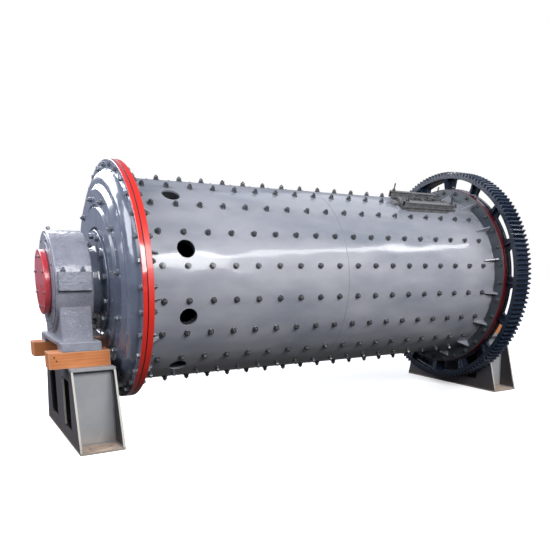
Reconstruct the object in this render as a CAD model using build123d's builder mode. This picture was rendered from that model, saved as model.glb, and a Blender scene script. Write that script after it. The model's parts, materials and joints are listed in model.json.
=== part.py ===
"""Trunnion-bearing ball mill: a bolted steel drum that turns in two pedestal bearings on welded stands.

The mill axis runs along X at axis_height above the floor, the girth gear is at +X, and the origin is on
the floor under the middle of the mill. Sizes are in millimetres. Radii are measured from the mill axis,
angles from straight up towards -Y, and lengths called "out" along X away from the middle.
"""
import os
from math import acos, asin, cos, degrees, radians, sin, tan

from build123d import *

# Drum shell
shell_inner_radius = 1050
shell_thickness = 20
gear_joint_out = 2375
plain_joint_inset = 50
port_inset = 450
manhole_inset = 875

# Lining plates, one wave for each bolt row
row_count = 20
row_pitch = 360 / row_count
row_phase = 27.45 - row_pitch
lining_edge_thickness = 45
lining_crest_thickness = 75
lining_end_clearance = 6

# Discharge ports
port_count = 10
port_radius = 90
port_phase = 36.45

# Shell flanges and their gussets
flange_projection = 170
flange_thickness = {"plain_end": 60, "gear_end": 45}
flange_chamfer = 4
gusset_count = 16
gusset_thickness = 16
gusset_height = 100
gusset_toe = 15
gusset_length = {"plain_end": 110, "gear_end": 175}
gusset_phase = {"plain_end": 7.5, "gear_end": 10.1}

# Cast heads: depths out from the joint, and insets in from the flange rim or the shell's bore
head_flange_thickness = 45
spigot_depth = 40
head_bolting_width = 100
head_dome_fullness = 0.64
head_shoulder_inset = 17
head_shoulder_depth = 125
head_step_inset = 65
bolt_land_inset = 115
bolt_land_width = 150
bolt_land_depth = 160
head_groove_width = 16
head_groove_depth = 12
head_face_margin = 30
head_face_depth = 175
head_seat_depth = 140
head_wall = 60

# Trunnions
journal_radius = 300
trunnion_bore_radius = 200
trunnion_end_chamfer = 5
neck_collar = 45
neck_fillet = 40
neck_length = 75
trunnion_spigot_inset = 15
trunnion_flange_projection = 185
trunnion_flange_thickness = 50
trunnion_cover_lap = 20
trunnion_cover_thickness = 52
trunnion_cover_chamfer = 6
trunnion_cover_spigot = 25

# Pedestal bearings
bearing_centre_height = 650
bearing_width = 345
bush_thickness = 60
bush_split = 0.6
barrel_depth = 212
barrel_chamfer = 10
pedestal_width_inset = 24.5
pedestal_depth_inset = 57
casting_fillet = 14
lug_width_inset = 20
lug_projection = 48
cap_lug_height = 100
housing_lug_height = 75
foot_width_lap = 12.5
foot_projection = 80
foot_height = 90
foot_chamfer = 12
foot_pad_depth = 240
foot_arch_height = 45
seal_ring_inset = 32
seal_ring_step_width = 100
seal_ring_thickness = 12
seal_ring_step = 5

# Timber packing, one block under each foot of a bearing
packing_height = 160
packing_outer_overhang = 133
packing_inner_overhang = {"plain_end": 85, "gear_end": 50}

# Welded stands
stand_base_thickness = 20
stand_top_thickness = 25
stand_inset = {"plain_end": 70.5, "gear_end": 4.5}
stand_width = 415
stand_plate_thickness = 20
stand_top_margin = 100
stand_splay = 200
end_web_margin = 10
stand_window_inner = 200
stand_window_end_margin = 74
stand_window_bottom = 120
stand_window_top_margin = 110
stand_window_corner = 30
anchor_hole_radius = 17
anchor_hole_end_margin = 140
anchor_hole_half_pitch = 103

# Girth gear
gear_module = 20
gear_face_width = 260
gear_pressure_angle = 20
gear_floor_clearance = 120
gear_rim_thickness = 47
gear_web_thickness = 45
gear_hub_gap = 10
gear_window_count = 16
gear_window_margin = 32
gear_window_depth = 110
gear_window_lip = 6
gear_window_corner = 30
gear_window_phase = 2.5
gear_spoke_width = 140
gear_rib_thickness = 24
gear_rib_reach = 85
gear_rib_margin = 12
gear_joint_lug_thickness = 70

# Manhole in the gear-end course
manhole_angle = 28.3
manhole_length = 660
manhole_width = 290
manhole_corner = 50
manhole_frame_wall = 45
manhole_frame_end_wall = 60
manhole_frame_height = 18
manhole_cover_thickness = 12
manhole_cover_lap = 30
manhole_bar_width = 60
manhole_bar_height = 80
manhole_bar_wall = 8
manhole_bar_inset = 10
manhole_bar_overhang = 20

# Fits and gaps
seat_gap = 0.3
running_gap = 0.3
guard_gap = 6
collar_gap = 8

# Derived sizes: the drum and its heads
side_of = {"plain_end": -1, "gear_end": 1}
plain_joint_out = gear_joint_out - plain_joint_inset
joint_out = {"plain_end": plain_joint_out, "gear_end": gear_joint_out}
port_out = plain_joint_out - port_inset
manhole_x = gear_joint_out - manhole_inset
shell_outer_radius = shell_inner_radius + shell_thickness
flange_radius = shell_outer_radius + flange_projection
head_dome_radius = flange_radius - head_bolting_width
head_shoulder_radius = shell_inner_radius - head_shoulder_inset
head_step_radius = shell_inner_radius - head_step_inset
bolt_land_outer_radius = shell_inner_radius - bolt_land_inset
bolt_land_inner_radius = bolt_land_outer_radius - bolt_land_width

# Derived sizes: the trunnions and bearings
neck_radius = journal_radius + neck_collar
trunnion_spigot_radius = neck_radius - trunnion_spigot_inset
trunnion_flange_radius = neck_radius + trunnion_flange_projection
head_face_radius = trunnion_flange_radius + head_face_margin
bush_outer_radius = journal_radius + running_gap + bush_thickness
housing_bore_radius = bush_outer_radius + seat_gap
seal_bore_radius = journal_radius + guard_gap
seal_ring_step_radius = journal_radius + seal_ring_step_width
trunnion_cover_radius = seal_bore_radius + trunnion_cover_lap
barrel_radius = journal_radius + barrel_depth
seal_ring_radius = barrel_radius - seal_ring_inset
bearing_inner_out = gear_joint_out + head_seat_depth + trunnion_flange_thickness + neck_length
bearing_outer_out = bearing_inner_out + bearing_width
bearing_centre_out = bearing_inner_out + bearing_width / 2
trunnion_end_out = bearing_outer_out + seal_ring_thickness + guard_gap
pedestal_width = bearing_width - 2 * pedestal_width_inset
pedestal_half_depth = barrel_radius - pedestal_depth_inset
lug_width = bearing_width - 2 * lug_width_inset
lug_half_depth = barrel_radius + lug_projection
foot_width = bearing_width + 2 * foot_width_lap
foot_half_depth = lug_half_depth + foot_projection

# Derived sizes: the girth gear, whose teeth go round outside its windows
gear_window_inner_radius = flange_radius + gear_window_margin
gear_window_outer_radius = gear_window_inner_radius + gear_window_depth
gear_rim_radius = gear_window_outer_radius + gear_window_lip
gear_dedendum = 1.25 * gear_module
gear_teeth = 2 * round((gear_rim_radius + gear_rim_thickness + gear_dedendum) / gear_module)
gear_pitch_radius = gear_module * gear_teeth / 2
gear_tip_radius = gear_pitch_radius + gear_module
gear_root_radius = gear_pitch_radius - gear_dedendum
gear_hub_bore_radius = head_dome_radius + gear_hub_gap
gear_web_out = gear_joint_out + head_flange_thickness
gear_near_out = gear_web_out + gear_web_thickness / 2 - gear_face_width / 2

# Derived sizes: the packing and stands, which lift the gear clear of the floor
axis_height = gear_tip_radius + gear_floor_clearance
stand_height = axis_height - bearing_centre_height - packing_height
stand_plate_height = stand_height - stand_base_thickness - stand_top_thickness
packing_outer_out = bearing_outer_out + packing_outer_overhang
packing_inner_out = {end: bearing_inner_out - packing_inner_overhang[end] for end in side_of}
stand_centre_out = {end: bearing_centre_out - stand_inset[end] for end in side_of}
stand_half_depth_top = foot_half_depth + stand_top_margin
stand_half_depth_foot = stand_half_depth_top + stand_splay
end_web_half_depth = foot_half_depth + end_web_margin
stand_window_outer = end_web_half_depth - stand_window_end_margin
stand_window_height = stand_plate_height - stand_window_bottom - stand_window_top_margin
anchor_hole_half_depth = stand_half_depth_foot - anchor_hole_end_margin

mill_axis = Axis((0, 0, axis_height), (1, 0, 0))
lengthwise_plane = Plane(origin=(0, 0, axis_height), x_dir=(1, 0, 0), z_dir=(0, -1, 0))

os.makedirs("parts", exist_ok=True)


def keep(builder, label):
    """Name a finished piece and write it to its own file."""
    builder.part.label = label
    export_step(builder.part, f"parts/{label}.step")


def plane_across(x):
    """Plane square to the mill axis at x, with its own x along +Y and its own y up."""
    return Plane(origin=(x, 0, axis_height), x_dir=(0, 1, 0), z_dir=(1, 0, 0))


def plane_from(side, near_out, far_out):
    """Plane square to the axis from which extruding by far_out - near_out fills that stretch."""
    return plane_across(min(side * near_out, side * far_out))


def plane_along(angle):
    """Plane through the mill axis at an angle, with its own x along X and its own y outwards."""
    return Plane(
        origin=(0, 0, axis_height),
        x_dir=(1, 0, 0),
        z_dir=(0, -cos(radians(angle)), -sin(radians(angle))),
    )


def plane_tangent(x, angle, radius):
    """Plane that faces outwards at an angle and a radius from the mill axis."""
    outward = Vector(0, -sin(radians(angle)), cos(radians(angle)))
    return Plane(origin=Vector(x, 0, axis_height) + outward * radius, x_dir=(1, 0, 0), z_dir=outward)


def polar(radius, angle):
    """Point on plane_across at a radius and an angle."""
    return (-radius * sin(radians(angle)), radius * cos(radians(angle)))


# Shell courses: rolled plate, with the ports in one and the manhole in the other
port_planes = [
    plane_tangent(-port_out, port_phase + index * 360 / port_count, shell_inner_radius / 2)
    for index in range(port_count)
]
manhole_plane = plane_tangent(manhole_x, manhole_angle, shell_inner_radius / 2)

with BuildPart() as plain_end_course:
    with BuildSketch(plane_across(-plain_joint_out)):
        Circle(shell_outer_radius)
        Circle(shell_inner_radius, mode=Mode.SUBTRACT)
    extrude(amount=plain_joint_out)
    with BuildSketch(*port_planes):
        Circle(port_radius)
    extrude(amount=shell_outer_radius, mode=Mode.SUBTRACT)
keep(plain_end_course, "plain_end_course")

with BuildPart() as gear_end_course:
    with BuildSketch(plane_across(0)):
        Circle(shell_outer_radius)
        Circle(shell_inner_radius, mode=Mode.SUBTRACT)
    extrude(amount=gear_joint_out)
    with BuildSketch(manhole_plane):
        RectangleRounded(manhole_length, manhole_width, manhole_corner)
    extrude(amount=shell_outer_radius, mode=Mode.SUBTRACT)
keep(gear_end_course, "gear_end_course")

# Linings: wave plates, thickest under each row of bolts
lining_outer_radius = shell_inner_radius - seat_gap
lining_length = {end: joint_out[end] - spigot_depth - lining_end_clearance for end in side_of}
lining_cut = {"plain_end": port_planes, "gear_end": [manhole_plane]}

for end, side in side_of.items():
    with BuildPart() as lining:
        with BuildSketch(plane_from(side, 0, lining_length[end])):
            Circle(lining_outer_radius)
            with BuildSketch(mode=Mode.SUBTRACT):
                with BuildLine():
                    for row in range(row_count):
                        middle = row_phase + row * row_pitch
                        ThreePointArc(
                            polar(lining_outer_radius - lining_edge_thickness, middle - row_pitch / 2),
                            polar(lining_outer_radius - lining_crest_thickness, middle),
                            polar(lining_outer_radius - lining_edge_thickness, middle + row_pitch / 2),
                        )
                make_face()
        extrude(amount=lining_length[end])
        with BuildSketch(*lining_cut[end]):
            if end == "plain_end":
                Circle(port_radius)
            else:
                RectangleRounded(manhole_length, manhole_width, manhole_corner)
        extrude(amount=shell_outer_radius, mode=Mode.SUBTRACT)
    keep(lining, f"{end}_lining")

# Shell flanges, slipped over the ends of the shell
for end, side in side_of.items():
    near_out = joint_out[end] - flange_thickness[end]
    with BuildPart() as shell_flange:
        with BuildSketch(plane_from(side, near_out, joint_out[end])):
            Circle(flange_radius)
            Circle(shell_outer_radius + seat_gap, mode=Mode.SUBTRACT)
        extrude(amount=flange_thickness[end])
        chamfer(shell_flange.edges().filter_by(GeomType.CIRCLE).sort_by(SortBy.RADIUS)[-2:], flange_chamfer)
    keep(shell_flange, f"{end}_shell_flange")

# Gussets between the shell and each flange
for end, side in side_of.items():
    flange_face = side * (joint_out[end] - flange_thickness[end])
    gusset_tip = flange_face - side * gusset_length[end]
    gusset_foot = shell_outer_radius + seat_gap
    with BuildPart() as gussets:
        with BuildSketch(
            *[plane_along(gusset_phase[end] + index * 360 / gusset_count) for index in range(gusset_count)]
        ):
            with BuildLine():
                Polyline(
                    (flange_face, gusset_foot),
                    (gusset_tip, gusset_foot),
                    (gusset_tip, gusset_foot + gusset_toe),
                    (flange_face, gusset_foot + gusset_height),
                    close=True,
                )
            make_face()
        extrude(amount=gusset_thickness / 2, both=True)
    keep(gussets, f"{end}_gussets")

# Cast heads: a stepped dish with a bolting flange, a land for the lining bolts and a seat for the trunnion
for end, side in side_of.items():
    base = joint_out[end]
    dome_root = base + head_flange_thickness
    shoulder = base + head_shoulder_depth
    land = base + bolt_land_depth
    face = base + head_face_depth
    seat = base + head_seat_depth
    spigot_radius = shell_inner_radius - seat_gap
    groove_outer = bolt_land_inner_radius
    groove_inner = bolt_land_inner_radius - head_groove_width
    with BuildPart() as head:
        with BuildSketch(lengthwise_plane):
            with BuildLine():
                Polyline(
                    (side * base, spigot_radius),
                    (side * base, flange_radius),
                    (side * (dome_root - flange_chamfer), flange_radius),
                    (side * dome_root, flange_radius - flange_chamfer),
                    (side * dome_root, head_dome_radius),
                )
                dome_bulge = (
                    side * (dome_root + head_dome_fullness * (shoulder - dome_root)),
                    head_shoulder_radius + head_dome_fullness * (head_dome_radius - head_shoulder_radius),
                )
                ThreePointArc(
                    (side * dome_root, head_dome_radius), dome_bulge, (side * shoulder, head_shoulder_radius)
                )
                Polyline(
                    (side * shoulder, head_shoulder_radius),
                    (side * shoulder, head_step_radius),
                    (side * land, bolt_land_outer_radius),
                    (side * land, groove_outer),
                    (side * (land - head_groove_depth), groove_outer),
                    (side * (land - head_groove_depth), groove_inner),
                    (side * face, groove_inner - head_groove_width),
                    (side * face, head_face_radius),
                    (side * seat, trunnion_flange_radius + guard_gap),
                    (side * seat, trunnion_spigot_radius),
                    (side * (face - head_wall), trunnion_spigot_radius),
                    (side * (face - head_wall), groove_outer),
                    (side * (shoulder - head_wall), head_step_radius),
                    (side * (base - spigot_depth), head_step_radius),
                    (side * (base - spigot_depth), spigot_radius),
                    (side * base, spigot_radius),
                )
            make_face()
        revolve(axis=mill_axis)
    keep(head, f"{end}_head")

# Trunnions: hollow journals bolted to the heads, closed by a cover plate
for end, side in side_of.items():
    seat = joint_out[end] + head_seat_depth
    flange_face = seat + trunnion_flange_thickness
    spigot_end = joint_out[end] + head_face_depth - head_wall
    collar = bearing_inner_out - seal_ring_thickness - collar_gap
    with BuildPart() as trunnion:
        with BuildSketch(lengthwise_plane):
            with BuildLine():
                Polyline(
                    (side * spigot_end, trunnion_bore_radius),
                    (side * spigot_end, trunnion_spigot_radius - seat_gap),
                    (side * seat, trunnion_spigot_radius - seat_gap),
                    (side * seat, trunnion_flange_radius),
                    (side * (flange_face - flange_chamfer), trunnion_flange_radius),
                    (side * flange_face, trunnion_flange_radius - flange_chamfer),
                    (side * flange_face, neck_radius + neck_fillet),
                )
                RadiusArc(
                    (side * flange_face, neck_radius + neck_fillet),
                    (side * (flange_face + neck_fillet), neck_radius),
                    side * -neck_fillet,
                )
                Polyline(
                    (side * (flange_face + neck_fillet), neck_radius),
                    (side * collar, neck_radius),
                    (side * collar, journal_radius),
                    (side * (trunnion_end_out - trunnion_end_chamfer), journal_radius),
                    (side * trunnion_end_out, journal_radius - trunnion_end_chamfer),
                    (side * trunnion_end_out, trunnion_bore_radius),
                    (side * spigot_end, trunnion_bore_radius),
                )
            make_face()
        revolve(axis=mill_axis)
    keep(trunnion, f"{end}_trunnion")

    with BuildPart() as trunnion_cover:
        with BuildSketch(plane_from(side, trunnion_end_out, trunnion_end_out + trunnion_cover_thickness)):
            Circle(trunnion_cover_radius)
        extrude(amount=trunnion_cover_thickness)
        with BuildSketch(plane_from(side, trunnion_end_out - trunnion_cover_spigot, trunnion_end_out)):
            Circle(trunnion_bore_radius - seat_gap)
        extrude(amount=trunnion_cover_spigot)
        outer_face = trunnion_cover.faces().sort_by(Axis.X)[-1 if side > 0 else 0]
        chamfer(outer_face.edges(), trunnion_cover_chamfer)
    keep(trunnion_cover, f"{end}_trunnion_cover")

# Girth gear: spur teeth with involute flanks, cast in two halves that bolt together across the axis
base_radius = gear_pitch_radius * cos(radians(gear_pressure_angle))


def involute(radius):
    """Angle in degrees that the flank has turned from its base circle at this radius."""
    turn = acos(base_radius / radius)
    return degrees(tan(turn) - turn)


pitch_half_angle = 90 / gear_teeth


def flank(radius):
    """Half the angle that a tooth takes up at this radius."""
    return pitch_half_angle + involute(gear_pitch_radius) - involute(max(radius, base_radius))


tooth_radii = [gear_root_radius, gear_pitch_radius, gear_tip_radius]
gear_outline = []
for tooth in range(gear_teeth):
    middle = gear_window_phase + (tooth + 0.5) * 360 / gear_teeth
    gear_outline += [polar(radius, middle - flank(radius)) for radius in tooth_radii]
    gear_outline += [polar(radius, middle + flank(radius)) for radius in reversed(tooth_radii)]

gear_window_middle_radius = (gear_window_inner_radius + gear_window_outer_radius) / 2
spoke_angles = [gear_window_phase + index * 360 / gear_window_count for index in range(gear_window_count)]
split_spokes = [spoke_angles[0], spoke_angles[gear_window_count // 2]]
rib_foot = {-1: flange_radius + gear_rib_margin, 1: gear_hub_bore_radius + gear_rib_margin}

with BuildPart() as girth_gear:
    with BuildSketch(plane_across(gear_near_out)):
        Polygon(*gear_outline, align=None)
        Circle(gear_rim_radius, mode=Mode.SUBTRACT)
    extrude(amount=gear_face_width)
    with BuildSketch(plane_across(gear_web_out)):
        Circle(gear_rim_radius + gear_module / 4)
        Circle(gear_hub_bore_radius, mode=Mode.SUBTRACT)
    extrude(amount=gear_web_thickness)
    with BuildSketch(plane_across(gear_web_out)):
        Circle(gear_window_outer_radius)
        Circle(gear_window_inner_radius, mode=Mode.SUBTRACT)
        with PolarLocations(gear_window_middle_radius, gear_window_count, start_angle=90 + gear_window_phase):
            Rectangle(2 * gear_window_depth, gear_spoke_width, mode=Mode.SUBTRACT)
        fillet(vertices(), gear_window_corner)
    extrude(amount=gear_web_thickness, mode=Mode.SUBTRACT)
    for face in rib_foot:
        web_face = gear_web_out + (gear_web_thickness if face > 0 else 0)
        for angles, thickness in (
            ([angle for angle in spoke_angles if angle not in split_spokes], gear_rib_thickness),
            (split_spokes, gear_joint_lug_thickness),
        ):
            with BuildSketch(*[plane_along(angle) for angle in angles]):
                with BuildLine():
                    Polyline(
                        (web_face, rib_foot[face]),
                        (web_face + face * gear_rib_reach / 2, rib_foot[face]),
                        (web_face + face * gear_rib_reach, gear_window_outer_radius),
                        (web_face + face * gear_rib_reach, gear_rim_radius + gear_module / 4),
                        (web_face, gear_rim_radius + gear_module / 4),
                        close=True,
                    )
                make_face()
            extrude(amount=thickness / 2, both=True)

for half, kept_side in (("front", Keep.TOP), ("back", Keep.BOTTOM)):
    with BuildPart() as gear_half:
        add(girth_gear.part)
        split(bisect_by=plane_along(gear_window_phase).rotated((90, 0, 0)), keep=kept_side)
    keep(gear_half, f"girth_gear_{half}_half")

# Manhole: a frame on the shell, a cover laid on it and two hollow bars that hold the cover down
frame_foot_radius = shell_outer_radius + seat_gap
frame_top_radius = frame_foot_radius + manhole_frame_height
cover_foot_radius = frame_top_radius + seat_gap
cover_top_radius = cover_foot_radius + manhole_cover_thickness
frame_length = manhole_length + 2 * manhole_frame_end_wall
frame_width = manhole_width + 2 * manhole_frame_wall
frame_corner = manhole_corner + manhole_frame_wall / 2
ring_plane = plane_across(manhole_x - frame_length)

with BuildPart() as manhole_frame:
    with BuildSketch(ring_plane):
        Circle(frame_top_radius)
        Circle(frame_foot_radius, mode=Mode.SUBTRACT)
    extrude(amount=2 * frame_length)
    with BuildSketch(manhole_plane):
        RectangleRounded(frame_length, frame_width, frame_corner)
        RectangleRounded(manhole_length, manhole_width, manhole_corner, mode=Mode.SUBTRACT)
    extrude(amount=shell_outer_radius, mode=Mode.INTERSECT)
keep(manhole_frame, "manhole_frame")

with BuildPart() as manhole_cover:
    with BuildSketch(ring_plane):
        Circle(cover_top_radius)
        Circle(cover_foot_radius, mode=Mode.SUBTRACT)
    extrude(amount=2 * frame_length)
    with BuildSketch(manhole_plane):
        RectangleRounded(
            manhole_length + 2 * manhole_cover_lap,
            manhole_width + 2 * manhole_cover_lap,
            manhole_corner + manhole_cover_lap / 2,
        )
    extrude(amount=shell_outer_radius, mode=Mode.INTERSECT)
keep(manhole_cover, "manhole_cover")

# Each bar lies along the cover, with the middle of its foot on the crown of the cover's curve
bar_offset = frame_width / 2 - manhole_bar_inset - manhole_bar_width / 2
bar_angle = degrees(asin(bar_offset / cover_top_radius))
bar_half_length = frame_length / 2 + manhole_bar_overhang
bar_middle_radius = cover_top_radius + seat_gap + manhole_bar_height / 2

with BuildPart() as manhole_clamp_bars:
    for angle in (manhole_angle - bar_angle, manhole_angle + bar_angle):
        bar_end = plane_tangent(manhole_x - bar_half_length, angle, bar_middle_radius)
        with BuildSketch(Plane(origin=bar_end.origin, x_dir=bar_end.z_dir, z_dir=(1, 0, 0))):
            Rectangle(manhole_bar_height, manhole_bar_width)
            offset(amount=-manhole_bar_wall, mode=Mode.SUBTRACT)
        extrude(amount=2 * bar_half_length)
keep(manhole_clamp_bars, "manhole_clamp_bars")

# Pedestal bearings: a lower housing with feet, a cap, a split bush and a seal ring on each face
for end, side in side_of.items():
    width_plane = plane_from(side, bearing_inner_out, bearing_outer_out)
    pedestal_plane = plane_from(
        side, bearing_centre_out - pedestal_width / 2, bearing_centre_out + pedestal_width / 2
    )
    lug_plane = plane_from(side, bearing_centre_out - lug_width / 2, bearing_centre_out + lug_width / 2)
    foot_plane = plane_from(side, bearing_centre_out - foot_width / 2, bearing_centre_out + foot_width / 2)
    half_turn_plane = Plane.XY.offset(axis_height)

    with BuildPart() as bearing_housing:
        with BuildSketch(width_plane):
            Circle(barrel_radius)
        extrude(amount=bearing_width)
        chamfer(bearing_housing.edges(), barrel_chamfer)
        split(bisect_by=half_turn_plane, keep=Keep.BOTTOM)
        with BuildSketch(pedestal_plane):
            with Locations((0, -bearing_centre_height / 2)):
                Rectangle(2 * pedestal_half_depth, bearing_centre_height)
        extrude(amount=pedestal_width)
        pedestal_corners = bearing_housing.edges().filter_by(Axis.Z).group_by(Axis.Y)
        fillet(pedestal_corners[0] + pedestal_corners[-1], casting_fillet)
        with BuildSketch(lug_plane):
            with Locations((0, -housing_lug_height / 2)):
                Rectangle(2 * lug_half_depth, housing_lug_height)
        extrude(amount=lug_width)
        lug_ends = bearing_housing.edges().filter_by(Axis.Z).group_by(Axis.Y)
        fillet(lug_ends[0] + lug_ends[-1], casting_fillet)
        with BuildSketch(foot_plane):
            with Locations((0, foot_height / 2 - bearing_centre_height)):
                Rectangle(2 * foot_half_depth, foot_height)
        extrude(amount=foot_width)
        foot_ends = bearing_housing.edges().filter_by(Axis.Z).group_by(Axis.Y)
        fillet(foot_ends[0] + foot_ends[-1], casting_fillet)
        foot_faces = bearing_housing.faces().filter_by(Axis.Y).sort_by(Axis.Y)
        foot_tops = [foot_faces[place].edges().sort_by(Axis.Z)[-1] for place in (0, -1)]
        chamfer(foot_tops, foot_chamfer)
        with BuildSketch(foot_plane):
            with Locations((0, foot_arch_height / 2 - bearing_centre_height)):
                Rectangle(2 * (foot_half_depth - foot_pad_depth), foot_arch_height)
        extrude(amount=foot_width, mode=Mode.SUBTRACT)
        with BuildSketch(width_plane):
            Circle(housing_bore_radius)
        extrude(amount=bearing_width, mode=Mode.SUBTRACT)
    keep(bearing_housing, f"{end}_bearing_housing")

    with BuildPart() as bearing_cap:
        with BuildSketch(width_plane):
            Circle(barrel_radius)
        extrude(amount=bearing_width)
        chamfer(bearing_cap.edges(), barrel_chamfer)
        split(bisect_by=half_turn_plane, keep=Keep.TOP)
        with BuildSketch(lug_plane):
            with Locations((0, cap_lug_height / 2)):
                Rectangle(2 * lug_half_depth, cap_lug_height)
        extrude(amount=lug_width)
        lug_ends = bearing_cap.edges().filter_by(Axis.Z).group_by(Axis.Y)
        fillet(lug_ends[0] + lug_ends[-1], casting_fillet)
        with BuildSketch(width_plane):
            Circle(housing_bore_radius)
        extrude(amount=bearing_width, mode=Mode.SUBTRACT)
    keep(bearing_cap, f"{end}_bearing_cap")

    with BuildPart() as bearing_bush:
        with BuildSketch(width_plane):
            Circle(bush_outer_radius)
            Circle(journal_radius + running_gap, mode=Mode.SUBTRACT)
            Rectangle(3 * journal_radius, bush_split, mode=Mode.SUBTRACT)
        extrude(amount=bearing_width)
    keep(bearing_bush, f"{end}_bearing_bush")

    for face, face_out, outward in (("inner", bearing_inner_out, -1), ("outer", bearing_outer_out, 1)):
        step_out = face_out + outward * (seal_ring_thickness - seal_ring_step)
        rim_out = face_out + outward * seal_ring_thickness
        with BuildPart() as seal_ring:
            with BuildSketch(lengthwise_plane):
                with BuildLine():
                    Polyline(
                        (side * face_out, seal_bore_radius),
                        (side * face_out, seal_ring_radius),
                        (side * step_out, seal_ring_radius - seal_ring_step),
                        (side * step_out, seal_ring_step_radius),
                        (side * rim_out, seal_ring_step_radius - seal_ring_step),
                        (side * rim_out, seal_bore_radius),
                        close=True,
                    )
                make_face()
            revolve(axis=mill_axis)
        keep(seal_ring, f"{end}_{face}_seal_ring")

# Timber packing between the bearing feet and the stands
packing_half_pitch = foot_half_depth - foot_pad_depth / 2

for end, side in side_of.items():
    packing_length = packing_outer_out - packing_inner_out[end]
    packing_middle = side * (packing_outer_out + packing_inner_out[end]) / 2
    for place, packing_y in (("front", -packing_half_pitch), ("back", packing_half_pitch)):
        with BuildPart() as packing_block:
            with BuildSketch(Plane.XY.offset(stand_height)):
                with Locations((packing_middle, packing_y)):
                    Rectangle(packing_length, foot_pad_depth)
            extrude(amount=packing_height)
        keep(packing_block, f"{end}_{place}_packing_block")

# Stands: a foot plate, two windowed side plates with sloping ends, webs between them and a top plate
plate_foot_height = stand_base_thickness
inside_width = stand_width - 2 * stand_plate_thickness

for end, side in side_of.items():
    centre = side * stand_centre_out[end]
    with BuildPart() as stand_base_plate:
        with BuildSketch(Plane.XY):
            with Locations((centre, 0)):
                Rectangle(stand_width, 2 * stand_half_depth_foot)
                with GridLocations(2 * anchor_hole_half_pitch, 2 * anchor_hole_half_depth, 2, 2):
                    Circle(anchor_hole_radius, mode=Mode.SUBTRACT)
        extrude(amount=stand_base_thickness)
    keep(stand_base_plate, f"{end}_stand_base_plate")

    for face, offset in (("inner", -side * stand_width / 2), ("outer", side * stand_width / 2)):
        plate_x = centre + offset
        inward = stand_plate_thickness if offset < 0 else -stand_plate_thickness
        with BuildPart() as stand_side_plate:
            with BuildSketch(Plane(origin=(plate_x, 0, plate_foot_height), x_dir=(0, 1, 0), z_dir=(1, 0, 0))):
                with BuildLine():
                    Polyline(
                        (-stand_half_depth_foot, 0),
                        (stand_half_depth_foot, 0),
                        (stand_half_depth_top, stand_plate_height),
                        (-stand_half_depth_top, stand_plate_height),
                        close=True,
                    )
                make_face()
                window_height = stand_window_bottom + stand_window_height / 2
                window_middle = (stand_window_inner + stand_window_outer) / 2
                with Locations((-window_middle, window_height), (window_middle, window_height)):
                    RectangleRounded(
                        stand_window_outer - stand_window_inner,
                        stand_window_height,
                        stand_window_corner,
                        mode=Mode.SUBTRACT,
                    )
            extrude(amount=inward)
        keep(stand_side_plate, f"{end}_stand_{face}_plate")

    with BuildPart() as stand_end_webs:
        with BuildSketch(Plane.XY.offset(plate_foot_height)):
            with Locations((centre, 0)):
                with GridLocations(0, 2 * end_web_half_depth, 1, 2):
                    Rectangle(inside_width, stand_plate_thickness)
        extrude(amount=stand_plate_height)
    keep(stand_end_webs, f"{end}_stand_end_webs")

    with BuildPart() as stand_middle_web:
        with BuildSketch(Plane.XY.offset(plate_foot_height)):
            with Locations((centre, 0)):
                Rectangle(inside_width, stand_plate_thickness)
        extrude(amount=stand_plate_height)
    keep(stand_middle_web, f"{end}_stand_middle_web")

    with BuildPart() as stand_top_plate:
        with BuildSketch(Plane.XY.offset(plate_foot_height + stand_plate_height)):
            with Locations((centre, 0)):
                Rectangle(stand_width, 2 * stand_half_depth_top)
        extrude(amount=stand_top_thickness)
    keep(stand_top_plate, f"{end}_stand_top_plate")
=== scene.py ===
# Ball mill: paint, timber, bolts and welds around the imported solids, with a plain studio round them.
# Lengths are in metres. The mill's axis runs along X, and angles round it are in degrees from straight up
# towards the front.
import json
import math

import bpy
from mathutils import Matrix, Vector, noise


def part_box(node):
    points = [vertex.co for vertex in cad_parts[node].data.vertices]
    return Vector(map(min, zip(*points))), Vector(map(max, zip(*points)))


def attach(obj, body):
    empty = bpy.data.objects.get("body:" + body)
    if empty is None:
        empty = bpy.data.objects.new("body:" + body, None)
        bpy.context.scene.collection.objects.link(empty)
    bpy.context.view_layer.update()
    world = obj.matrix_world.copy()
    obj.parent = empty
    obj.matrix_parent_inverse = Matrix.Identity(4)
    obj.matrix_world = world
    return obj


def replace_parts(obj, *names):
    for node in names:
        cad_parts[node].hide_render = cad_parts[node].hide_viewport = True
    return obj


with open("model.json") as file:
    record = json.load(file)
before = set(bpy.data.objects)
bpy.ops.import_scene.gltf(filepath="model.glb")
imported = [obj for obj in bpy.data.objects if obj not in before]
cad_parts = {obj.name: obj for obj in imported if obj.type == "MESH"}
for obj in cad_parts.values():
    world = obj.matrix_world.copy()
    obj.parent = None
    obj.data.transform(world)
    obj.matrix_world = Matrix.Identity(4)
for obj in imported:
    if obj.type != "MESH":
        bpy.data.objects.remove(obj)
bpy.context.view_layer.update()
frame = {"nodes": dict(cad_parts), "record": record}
nodes = frame["nodes"]
print("frame loaded with", len(nodes), "nodes")

mill = {
    "axisHeight": 1.6,
    "joint": {"plain_end": -2.325, "gear_end": 2.375},
    "side": {"plain_end": -1, "gear_end": 1},
}
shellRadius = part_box("plain_end_course")[1].y
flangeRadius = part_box("plain_end_head")[1].y


# Materials: each starts from what the real surface is, and its patterns are sized in metres
def colour(hexText):  # sRGB hex to the linear colour that a shader takes
    parts = [int(hexText[place:place + 2], 16) / 255 for place in (1, 3, 5)]
    linear = [part / 12.92 if part < 0.04045 else ((part + 0.055) / 1.055) ** 2.4 for part in parts]
    return (*linear, 1.0)


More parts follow.
